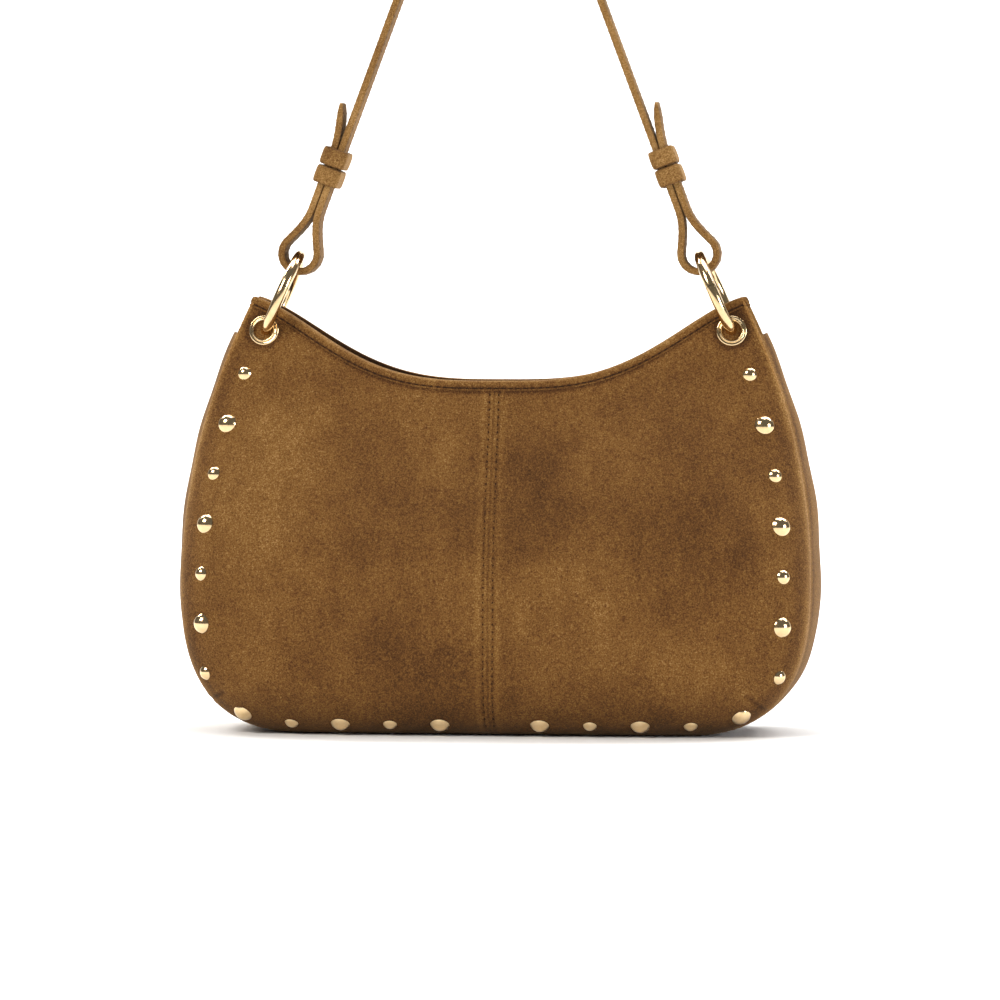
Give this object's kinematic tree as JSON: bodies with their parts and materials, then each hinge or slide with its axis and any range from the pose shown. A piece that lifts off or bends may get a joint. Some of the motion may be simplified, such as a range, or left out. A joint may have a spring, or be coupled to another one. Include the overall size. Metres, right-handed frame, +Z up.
{
  "type": "hobo bag",
  "caption": "Soft suede hobo shoulder bag with a curved mouth, studded seams, ring hardware and a looped strap; it carries small belongings under the arm.",
  "frame": {"origin": "underside of the strap's apex, where the strap rests on a shoulder or a hook; the base is 388.3 mm below", "axes": "+Z up, -Y to the bag's front, +X to the right seen from the front"},
  "size_m": [0.2926, 0.0988, 0.3916],
  "materials": {
    "suede": "napped suede",
    "leather": "suede-faced strap leather",
    "lining": "plain woven cotton",
    "zip_tape": "woven polyester tape",
    "board": "pressed board",
    "gold_metal": "light gold plate, polished"
  },
  "bodies": {
    "strap": {"strap": "leather", "keeper_left_fixed": "suede", "keeper_right_fixed": "suede"},
    "bag": {"front_panel_left": "suede", "front_panel_right": "suede", "back_panel_left": "suede", "back_panel_right": "suede", "gusset": "suede", "front_binding": "suede", "back_binding": "suede", "front_facing": "leather", "back_facing": "leather", "front_lining": "lining", "back_lining": "lining", "gusset_lining": "lining", "base_board": "board", "eyelet_front_left": "gold_metal", "eyelet_front_right": "gold_metal", "eyelet_back_left": "gold_metal", "eyelet_back_right": "gold_metal", "eyelet_washers": "gold_metal", "studs_large": "gold_metal", "studs_small": "gold_metal", "stud_caps": "gold_metal", "snap_post": "gold_metal", "snap_socket": "gold_metal", "pocket_patch": "lining", "pocket_zip_tape": "zip_tape", "pocket_zip_teeth": "gold_metal"},
    "ring_left": {"ring_left_body": "gold_metal", "ring_left_pin": "gold_metal"},
    "ring_right": {"ring_right_body": "gold_metal", "ring_right_pin": "gold_metal"},
    "gate_left": {"ring_left_gate": "gold_metal"},
    "gate_right": {"ring_right_gate": "gold_metal"},
    "keeper_left": {"keeper_left_sliding": "suede"},
    "keeper_right": {"keeper_right_sliding": "suede"},
    "zip_slider": {"pocket_slider": "gold_metal"},
    "zip_puller": {"pocket_puller": "gold_metal"}
  },
  "joints": [
    {"name": "bag_swing", "type": "hinge", "parent": "strap", "child": "bag", "pos_m": [0, 0, -0.19054], "axis": [1, 0, 0], "range_deg": [-24, 24]},
    {"name": "ring_left_turn", "type": "hinge", "parent": "bag", "child": "ring_left", "pos_m": [-0.09954, 0, -0.19054], "axis": [0.9107, 0.0717, -0.4067], "range_deg": [-20, 15]},
    {"name": "ring_right_turn", "type": "hinge", "parent": "bag", "child": "ring_right", "pos_m": [0.09954, 0, -0.19054], "axis": [0.9135, 0, 0.4067], "range_deg": [-20, 15]},
    {"name": "gate_left_swing", "type": "hinge", "parent": "ring_left", "child": "gate_left", "pos_m": [-0.09173, -0.00942, -0.17471], "axis": [0.9107, 0.0717, -0.4067], "range_deg": [0, 22], "stiffness_Nm_per_rad": 0.02, "springref_deg": -11.46},
    {"name": "gate_right_swing", "type": "hinge", "parent": "ring_right", "child": "gate_right", "pos_m": [0.09249, -0.01, -0.17471], "axis": [0.9135, 0, 0.4067], "range_deg": [0, 22], "stiffness_Nm_per_rad": 0.02, "springref_deg": -11.46},
    {"name": "keeper_left_slide", "type": "slide", "parent": "strap", "child": "keeper_left", "axis": [-0.3502, 0, -0.9367], "range_m": [0, 0.007]},
    {"name": "keeper_right_slide", "type": "slide", "parent": "strap", "child": "keeper_right", "axis": [0.3502, 0, -0.9367], "range_m": [0, 0.007]},
    {"name": "zip_slide", "type": "slide", "parent": "bag", "child": "zip_slider", "axis": [1, 0, 0], "range_m": [0, 0.118]},
    {"name": "puller_swing", "type": "hinge", "parent": "zip_slider", "child": "zip_puller", "pos_m": [-0.0595, 0.02333, -0.26977], "axis": [1, 0, 0], "range_deg": [-80, 15]}
  ]
}
